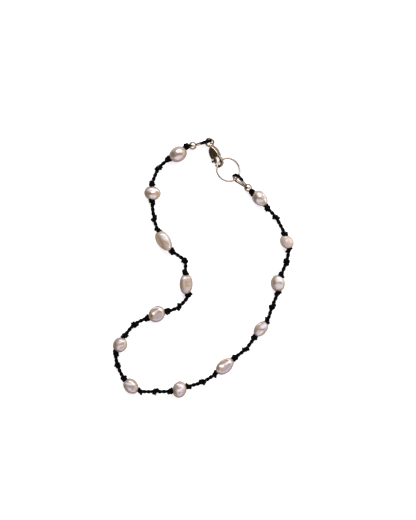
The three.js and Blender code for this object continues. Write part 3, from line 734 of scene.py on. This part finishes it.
connect(made, {
    "Color": mixed(wear, bright, given["Plating"], dulled),
    "Roughness": patchy(wear, patches, given["Polish"]), "Scratches": hairs,
})


def rose_gold(name, colour, polish, scratches):
    """Plated metal of a colour, with the roughness of its polish and the depth of its scratches."""
    material, tree, shader = node_tree(name)
    worn = add(
        tree, "ShaderNodeGroup",
        {"Place": add(tree, "ShaderNodeTexCoord").outputs["Object"], "Plating": (*colour, 1),
         "Polish": polish},
        node_tree=wear,
    )
    bump = add(
        tree, "ShaderNodeBump",
        {"Height": worn.outputs["Scratches"], "Distance": 0.004 * MM, "Strength": scratches},
    )
    connect(shader, {
        "Base Color": worn.outputs["Color"], "Roughness": worn.outputs["Roughness"],
        "Normal": bump.outputs["Normal"], "Metallic": 1.0,
    })
    return material


bead_gold = rose_gold("bead_gold", (0.78, 0.67, 0.56), 0.09, 0.4)


def select_faces(piece, chosen):
    """In edit mode, selects just the faces whose middle and normal pass a test."""
    bpy.ops.mesh.select_mode(type="FACE")
    bpy.ops.mesh.select_all(action="DESELECT")
    bpy.ops.object.mode_set(mode="OBJECT")
    for face in piece.data.polygons:
        face.select = chosen(face.center, face.normal)
    bpy.ops.object.mode_set(mode="EDIT")


def begin(name):
    """Names the primitive that was just added and opens it in edit mode."""
    piece = bpy.context.object
    piece.name = piece.data.name = name
    bpy.ops.object.mode_set(mode="EDIT")
    bpy.ops.mesh.select_mode(type="VERT")
    return piece


def finish_metal(piece, material, place, body, node, auto_smooth=40):
    """Places a metal piece, smooths it, and hands it to its CAD node's body."""
    bpy.ops.object.mode_set(mode="OBJECT")
    apply_all(piece)
    piece.data.transform(place)
    bpy.ops.object.shade_smooth_by_angle(angle=math.radians(auto_smooth))
    piece.data.materials.append(material)
    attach(piece, body)
    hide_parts(node)


for end, (at, heading, _), last_knot in (
    ("clasp_end", CLASP_GUARD, KNOTS[0]), ("ring_end", RING_GUARD, KNOTS[-1])
):
    out = Vector((math.cos(math.radians(heading)), math.sin(math.radians(heading)), 0))
    back = (at - Vector(last_knot[:3]) * MM).normalized()
    bpy.ops.object.select_all(action="DESELECT")
    bpy.ops.mesh.primitive_uv_sphere_add(segments=56, ring_count=40, radius=BEAD_RADIUS)
    bead = begin(f"round_bead_{end}")
    mouth = math.sqrt(BEAD_RADIUS ** 2 - BEAD_HOLE ** 2)
    select_faces(bead, lambda middle, normal: abs(middle.z) > mouth)
    bpy.ops.mesh.delete(type="FACE")
    bpy.ops.mesh.select_mode(type="EDGE")
    bpy.ops.mesh.select_all(action="DESELECT")
    bpy.ops.mesh.select_non_manifold()
    bpy.ops.mesh.bridge_edge_loops()
    bpy.ops.mesh.select_all(action="SELECT")
    bpy.ops.mesh.normals_make_consistent(inside=False)
    soften = bead.modifiers.new("mouths", "BEVEL")
    soften.width = 0.06 * MM
    soften.segments = 3
    soften.limit_method = "ANGLE"
    soften.angle_limit = math.radians(35)
    bored = (out + back).normalized().to_track_quat("Z", "Y").to_matrix().to_4x4()
    finish_metal(bead, bead_gold, Matrix.Translation(at) @ bored, "anklet", f"gold_bead_{end}")

# ---------------------------------------------------------------- wire guards and cord ends
# A wire guard is a bent gold tube, open along the outside of its bend. The end of the cord lies in
# the channel, so that the ring that hangs in the bend wears on metal and not on silk.

GUARD_RADIUS = 0.52 * MM
GUARD_WALL = 0.11 * MM
GUARD_START = 1.65 * MM  # from the middle of the bead
GUARD_MOUTH = 0.55 * MM  # from the middle of the guard to the middle of each mouth
GUARD_BEND = 1.25 * MM
GUARD_BEND_AT = 3.6 * MM
GUARD_CHANNEL_AT = 1.1 * MM
GUARD_OPENING = 0.42  # how squarely the wall faces outward where it is cut away
GUARD_FLARE = 0.2 * MM  # how far each mouth reaches back toward the bead
LEG_STEPS = 12
CORD_IN_BEAD = 0.16 * MM  # from the middle of the bead's hole to the middle of the cord
CORD_END_OFFSET = 0.14 * MM  # from the middle of the cord to the middle of a strand
CORD_IN_TUBE = 0.38 * MM  # how thick the cord is, from its middle, where it runs inside the tube
CORD_RISES_AT = 1.5  # millimetres along the guard
CORD_SHOWS_AT = GUARD_CHANNEL_AT + 0.45 * MM
BARE_LEG = 0.4 * GUARD_BEND  # beyond this, on its bare side, the cord lies thin in the channel
GUARDS = [
    # end, place, strand radius, how far the cord stands out of the left and right leg, bare side
    ("clasp_end", CLASP_GUARD, 0.49, 0.42, 0.0, -1),
    ("ring_end", RING_GUARD, 0.46, 0.0, 0.36, 1),
]
guard_gold = rose_gold("guard_gold", (0.66, 0.53, 0.42), 0.14, 0.6)


def guard_line(left, right):
    """The cord's line round a guard, standing out by so much on its left and right legs."""
    spread = (GUARD_BEND - GUARD_MOUTH) / GUARD_BEND_AT

    def leg(side, bulge):
        """Points from the middle of the bead to the start of the bend."""
        points = [
            Vector((-GUARD_START, side * CORD_IN_BEAD, 0)), Vector((0, side * GUARD_MOUTH, 0))
        ]
        for x in (0.8, 1.25, 1.75, 2.3, 2.9):
            out = bulge if x > CORD_RISES_AT else 0
            points.append(Vector((x * MM, side * (GUARD_MOUTH + spread * x * MM + out), 0)))
        return points

    bend = []
    for angle in (75, 50, 25, 0, -25, -50, -75):
        reach = GUARD_BEND + right + (left - right) * (angle + 90) / 180
        turn = math.radians(angle)
        bend.append(Vector((
            GUARD_BEND_AT + reach * math.cos(turn), reach * math.sin(turn), 0
        )))
    return [*leg(1, left), *bend, *reversed(leg(-1, right))]


def lengthen(move):
    """Extrudes the open end of a tube by a move."""
    bpy.ops.mesh.extrude_region_move(TRANSFORM_OT_translate={"value": move})


def in_channel(middle, normal):
    """Whether a face of the tube is cut away along the outside of the bend."""
    hub = Vector((min(middle.x, GUARD_BEND_AT), 0, 0))
    outward = Vector((middle.x, middle.y, 0)) - hub
    return middle.x > GUARD_CHANNEL_AT and normal.dot(outward.normalized()) > GUARD_OPENING


for end, (at, heading, roll), strand_radius, left, right, bare_side in GUARDS:
    place = turned_to(at, heading, roll) @ Matrix.Translation((GUARD_START, 0, 0))
    bpy.ops.object.select_all(action="DESELECT")
    bpy.ops.mesh.primitive_circle_add(
        vertices=24, radius=GUARD_RADIUS, location=(0, GUARD_MOUTH, 0), rotation=(0, math.pi / 2, 0)
    )
    bpy.ops.object.transform_apply()
    guard = begin(f"guard_{end}")
    bpy.ops.mesh.select_all(action="SELECT")
    out_leg = Vector((GUARD_BEND_AT, GUARD_BEND - GUARD_MOUTH, 0))
    back_leg = Vector((-out_leg.x, out_leg.y, 0))
    bpy.ops.transform.translate(value=-out_leg.normalized() * GUARD_FLARE)
    lengthen(out_leg.normalized() * GUARD_FLARE)
    for _ in range(LEG_STEPS):
        lengthen(out_leg / LEG_STEPS)
    bpy.ops.mesh.spin(steps=24, angle=math.pi, center=(GUARD_BEND_AT, 0, 0), axis=(0, 0, 1))
    for _ in range(LEG_STEPS):
        lengthen(back_leg / LEG_STEPS)
    lengthen(back_leg.normalized() * GUARD_FLARE)
    bpy.ops.mesh.select_all(action="SELECT")
    bpy.ops.mesh.remove_doubles(threshold=0.005 * MM)
    bpy.ops.mesh.normals_make_consistent(inside=False)
    select_faces(guard, in_channel)
    bpy.ops.mesh.delete(type="FACE")
    wall = guard.modifiers.new("wall", "SOLIDIFY")
    wall.thickness = GUARD_WALL
    wall.offset = -1
    wall.use_even_offset = True
    finish_metal(guard, guard_gold, place, "anklet", f"wire_guard_{end}", 50)

    line = through([place @ point for point in guard_line(left * MM, right * MM)], CORD_RING_STEP)
    slim = []
    for point in line:
        x, y, _ = place.inverted() @ point
        slim.append(1.0 if x < CORD_SHOWS_AT or y * bare_side > BARE_LEG else 0.0)
    full = strand_radius * MM + CORD_END_OFFSET
    shells = strands(line, slim, strand_radius * MM, CORD_END_OFFSET, CORD_IN_TUBE / full)
    loop = mesh_piece(f"cord_loop_{end}", shells, black_silk)
    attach(loop, "anklet")
    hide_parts("knotted_cord")

# ---------------------------------------------------------------- jump ring and large ring
# Round wire rings. The small one is cut and closed by hand, so it has a seam; the large one, which
# the clasp hooks into, is soldered shut and polished.

# Both rings take the rose-gold plating in a darker copy, the large one darkest: painted shade
# standing in for the dark reflections on their thin wire.
split_ring_shaded_gold = rose_gold("split_ring_shaded_gold", (0.46, 0.37, 0.28), 0.2, 0.7)
large_ring_shaded_gold = rose_gold("large_ring_shaded_gold", (0.32, 0.25, 0.215), 0.22, 0.5)
SEAM_AT, SEAM_WIDTH = 62, 2.2  # degrees round the jump ring
RINGS = [
    # name, node, middle, tilt about X and Y, radius of the wire's middle line, wire radius, seam
    ("split_ring", "jump_ring", (2.33, 44.9, 2.23), 12, -10.8, 1.45, 0.34, True),
    ("large_ring", "end_ring", (8.99, 35.06, 2.25), -14.2, 14.7, 4.28, 0.34, False),
]


def at_seam(middle, normal):
    """The sliver of wire that the saw took away."""
    return 0 < math.degrees(math.atan2(middle.y, middle.x)) - SEAM_AT < SEAM_WIDTH


for name, node, at, tilt_x, tilt_y, radius, wire, seam in RINGS:
    place = (
        Matrix.Translation(Vector(at) * MM)
        @ Matrix.Rotation(math.radians(tilt_x), 4, "X")
        @ Matrix.Rotation(math.radians(tilt_y), 4, "Y")
    )
    bpy.ops.object.select_all(action="DESELECT")
    bpy.ops.mesh.primitive_torus_add(
        major_radius=radius * MM, minor_radius=wire * MM, major_segments=168, minor_segments=20
    )
    ring = begin(name)
    if seam:
        select_faces(ring, at_seam)
        bpy.ops.mesh.delete(type="FACE")
        bpy.ops.mesh.select_mode(type="EDGE")
        bpy.ops.mesh.select_non_manifold()
        bpy.ops.mesh.edge_face_add()
    finish_metal(ring, split_ring_shaded_gold if seam else large_ring_shaded_gold, place, "anklet", node)

# ---------------------------------------------------------------- lobster clasp
# Cast and tumbled, then plated. The body is slotted for a sprung lever that turns on a rivet; the
# hook grows out of one side of it and curls back to the lever's tip.

# All in millimetres, in the clasp's own frame: X from its tail to its hook, Y to the hook's side.
CLASP_PLACE = turned_to(Vector((2.97, 44.16, 2.13)) * MM, -68, 39.8, 0.8)
CLASP_THICKNESS = 1.95
HOOK_THICKNESS = 1.0
LEVER_THICKNESS = 0.7
SLOT_WIDTH = 0.9
PIVOT = (3.95, -0.75)
RIVET_RADIUS = 0.3
RIVET_PLAY = 0.02
RIVET_SUNK = 0.04  # how much shorter the rivet is than the clasp is thick
BOSS_RADIUS = 0.5  # of the lever, round the rivet
THUMB = (5.92, -2.35)
THUMB_RADIUS = 0.42
THUMB_PROUD = 0.1  # how much thicker the thumb piece is than the lever
EYE_AT = 0.35
EYE_RADIUS = 0.82
EYE_WIRE = 0.24
BODY_EDGE, HOOK_EDGE, LEVER_EDGE = 0.24, 0.26, 0.2
DRILLED_THROUGH = 4
BODY_GRAIN, LEVER_GRAIN = 0.055, 0.04  # how fine the castings' surfaces are
clasp_gold = rose_gold("clasp_gold", (0.66, 0.54, 0.40), 0.13, 0.8)


def bent(*corners, steps=14):
    """Points along an outline of straight and cubic edges, in millimetres."""
    points = [corners[0]]
    for edge in corners[1:]:
        if len(edge) == 2:
            points.append(edge)
            continue
        (x0, y0), (x1, y1, x2, y2, x3, y3) = points[-1], edge
        for step in range(1, steps + 1):
            t = step / steps
            a, b, c, d = (1 - t) ** 3, 3 * t * (1 - t) ** 2, 3 * t * t * (1 - t), t ** 3
            points.append((a * x0 + b * x1 + c * x2 + d * x3, a * y0 + b * y1 + c * y2 + d * y3))
    return points


def slab(outline, thickness, edge):
    """A flat casting of an outline with its edges rounded over, in the clasp's own frame."""
    bpy.ops.object.select_all(action="DESELECT")
    bpy.ops.mesh.primitive_circle_add(vertices=len(outline), radius=MM, fill_type="NGON")
    piece = bpy.context.object
    for vertex, (x, y) in zip(piece.data.vertices, outline):
        vertex.co = (x * MM, y * MM, -thickness * MM / 2)
    bpy.ops.object.mode_set(mode="EDIT")
    bpy.ops.mesh.select_all(action="SELECT")
    bpy.ops.mesh.extrude_region_move(TRANSFORM_OT_translate={"value": (0, 0, thickness * MM)})
    bpy.ops.mesh.select_all(action="SELECT")
    bpy.ops.mesh.normals_make_consistent(inside=False)
    bpy.ops.object.mode_set(mode="OBJECT")
    if edge:
        round_over = piece.modifiers.new("edge", "BEVEL")
        round_over.width = edge * MM
        round_over.segments = 4
        round_over.limit_method = "ANGLE"
        round_over.angle_limit = math.radians(60)
        apply_all(piece)
    return piece


def drum(x, y, radius, length):
    """A round bar through the clasp at a point."""
    bpy.ops.object.select_all(action="DESELECT")
    bpy.ops.mesh.primitive_cylinder_add(
        vertices=40, radius=radius * MM, depth=length * MM, location=(x * MM, y * MM, 0)
    )
    bpy.ops.object.transform_apply()
    return bpy.context.object


def cast(name, parts, grain, cutters=()):
    """Runs the parts together into one casting, softens it, and cuts what is machined after."""
    bare(parts[0])
    for part in parts:
        part.select_set(True)
    bpy.ops.object.join()
    casting = bpy.context.object
    casting.name = casting.data.name = name
    fuse = casting.modifiers.new("fuse", "REMESH")
    fuse.mode = "VOXEL"
    fuse.voxel_size = grain * MM
    tumble = casting.modifiers.new("tumble", "SMOOTH")
    tumble.factor = 0.6
    tumble.iterations = 5
    for cutter in cutters:
        machine = casting.modifiers.new("machine", "BOOLEAN")
        machine.operation = "DIFFERENCE"
        machine.object = cutter
    apply_all(casting)
    for cutter in cutters:
        bpy.data.objects.remove(cutter)
    return casting


BODY_OUTLINE = bent(
    (0.75, 0.42), (1.7, 1.0, 2.3, 1.6, 3.6, 1.66), (4.9, 1.7), (4.7, 1.0), (5.2, -1.3),
    (5.2, -1.8, 4.9, -2.05, 4.4, -2.1), (2.3, -2.25, 1.1, -1.7, 0.7, -0.42),
)
HOOK_OUTLINE = bent(
    (3.0, 1.5), (5.2, 1.6, 5.6, 2.05, 6.8, 2.0), (8.3, 1.9, 8.85, 0.7, 8.82, -0.3),
    (8.75, -1.4, 8.1, -1.85, 7.34, -1.8), (7.34, -1.0), (7.75, -0.98, 7.98, -0.5, 7.9, 0.1),
    (7.75, 0.85, 7.1, 1.15, 6.5, 1.12), (5.8, 1.1, 5.3, 0.9, 4.4, 0.6), (3.0, 0.6),
)
SLOT_OUTLINE = [(3.2, -2.6), (5.8, -2.6), (5.8, 0.75), (4.3, 0.05), (3.6, -0.05), (3.2, -0.4)]
ARM_OUTLINE = bent(
    (3.95, -0.3), (3.7, -1.15), (5.3, -1.5), (5.5, -1.6, 5.6, -1.8, 5.7, -2.3), (6.14, -2.3),
    (6.1, -1.8, 6.15, -1.74, 6.3, -1.72), (7.1, -1.74), (7.08, -1.42), (6.88, -1.3),
    (6.6, -0.85), (6.4, -0.65),
)

bpy.ops.object.select_all(action="DESELECT")
bpy.ops.mesh.primitive_torus_add(
    major_radius=EYE_RADIUS * MM, minor_radius=EYE_WIRE * MM, major_segments=48, minor_segments=16,
    location=(EYE_AT * MM, 0, 0), rotation=(math.pi / 2, 0, 0),
)
bpy.ops.object.transform_apply()
eye = bpy.context.object
thick_body = slab(BODY_OUTLINE, CLASP_THICKNESS, BODY_EDGE)
hook = slab(HOOK_OUTLINE, HOOK_THICKNESS, HOOK_EDGE)
slot = slab(SLOT_OUTLINE, SLOT_WIDTH, 0)
rivet_hole = drum(*PIVOT, RIVET_RADIUS + RIVET_PLAY, DRILLED_THROUGH)
clasp_body = cast("clasp_casting", [thick_body, hook, eye], BODY_GRAIN, [slot, rivet_hole])
bpy.ops.object.mode_set(mode="EDIT")
finish_metal(clasp_body, clasp_gold, CLASP_PLACE, "anklet", "clasp_body", 45)

thumb = drum(*THUMB, THUMB_RADIUS, LEVER_THICKNESS + THUMB_PROUD)
arm = slab(ARM_OUTLINE, LEVER_THICKNESS, LEVER_EDGE)
boss = drum(*PIVOT, BOSS_RADIUS, LEVER_THICKNESS)
lever = cast("clasp_gate", [arm, boss, thumb], LEVER_GRAIN)
bpy.ops.object.mode_set(mode="EDIT")
finish_metal(lever, clasp_gold, CLASP_PLACE, "lever", "clasp_lever", 45)

rivet = drum(*PIVOT, RIVET_RADIUS, CLASP_THICKNESS - RIVET_SUNK)
begin("clasp_rivet")
dome = rivet.modifiers.new("dome", "BEVEL")
dome.width = 0.1 * MM
dome.segments = 4
dome.limit_method = "ANGLE"
finish_metal(rivet, clasp_gold, CLASP_PLACE, "anklet", "clasp_pin", 45)

# ---------------------------------------------------------------- floor, light and camera
# A plain white sheet, broad soft lights to the north and south with a dark gap between them
# overhead, lower and warmer ones that fill the shade, and a camera that looks straight down.

SHEET_SIZE = 3.0
bpy.ops.object.select_all(action="DESELECT")
bpy.ops.mesh.primitive_plane_add(size=SHEET_SIZE)
floor = bpy.context.object
floor.name = "floor"
white, tree, shader = node_tree("white_sheet")
seen = add(tree, "ShaderNodeLightPath").outputs["Is Camera Ray"]
connect(shader, {
    "Base Color": ramp(tree, seen, [(0.0, 0.3), (1.0, 0.9)]), "Roughness": 0.9,
    "Specular IOR Level": 0.0, "Emission Color": (1, 1, 1, 1),
    "Emission Strength": add(
        tree, "ShaderNodeMath", {0: seen, 1: 0.55}, operation="MULTIPLY"
    ).outputs[0],
})
floor.data.materials.append(white)


def soft_light(name, elevation, azimuth, distance, width, height, power, colour):
    """A broad light that faces the anklet."""
    light = bpy.data.lights.new(name, "AREA")
    light.shape = "ELLIPSE"
    light.size, light.size_y = width, height
    light.energy = power
    light.color = colour
    lamp = bpy.data.objects.new(name, light)
    bpy.context.collection.objects.link(lamp)
    e, a = math.radians(elevation), math.radians(azimuth)
    away = Vector((math.cos(e) * math.sin(a), math.cos(e) * math.cos(a), math.sin(e)))
    lamp.location = away * distance
    lamp.rotation_mode = "QUATERNION"
    lamp.rotation_quaternion = away.to_track_quat("Z", "Y")
    lamp.visible_camera = False


for row in (
    # name, elevation, azimuth from north, distance, width, height, power, colour
    ("north_light", 46, 12, 0.6, 0.85, 0.5, 5.2, (0.95, 0.95, 1.0)),
    ("south_light", 43, 175, 0.6, 1.1, 0.5, 2.1, (0.98, 0.92, 1.0)),
    ("north_flat", 30, 25, 0.8, 1.5, 0.9, 2.2, (1.0, 0.97, 0.90)),
    ("south_flat", 28, 165, 0.8, 1.6, 0.9, 1.3, (1.0, 0.92, 0.94)),
    ("east_flat", 18, 85, 0.8, 0.9, 0.6, 1.6, (1.0, 0.96, 0.88)),
):
    soft_light(*row)

world = bpy.data.worlds.new("room")
bpy.context.scene.world = world
world.use_nodes = True
room = world.node_tree
seen = add(room, "ShaderNodeLightPath").outputs["Is Camera Ray"]
walls = ramp(room, seen, [(0.0, (0.06, 0.05, 0.04)), (1.0, (1.0, 1.0, 1.0))])
connect(room.nodes["Background"], {"Color": walls})

FRAME_MIDDLE = Vector((1.72, 2.63, 0)) * MM
FRAME_HEIGHT = 187.2 * MM
SENSOR = 36  # the camera's own, in millimetres
CAMERA_HEIGHT = 1.1
camera = bpy.data.cameras.new("camera")
camera.sensor_fit = "VERTICAL"
camera.sensor_height = camera.sensor_width = SENSOR
camera.lens = SENSOR * CAMERA_HEIGHT / FRAME_HEIGHT
camera.clip_start, camera.clip_end = 0.05, 10
viewer = bpy.data.objects.new("camera", camera)
bpy.context.collection.objects.link(viewer)
viewer.location = FRAME_MIDDLE + Vector((0, 0, CAMERA_HEIGHT))
bpy.context.scene.camera = viewer
bpy.context.scene.view_settings.view_transform = "Standard"

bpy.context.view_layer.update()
import json
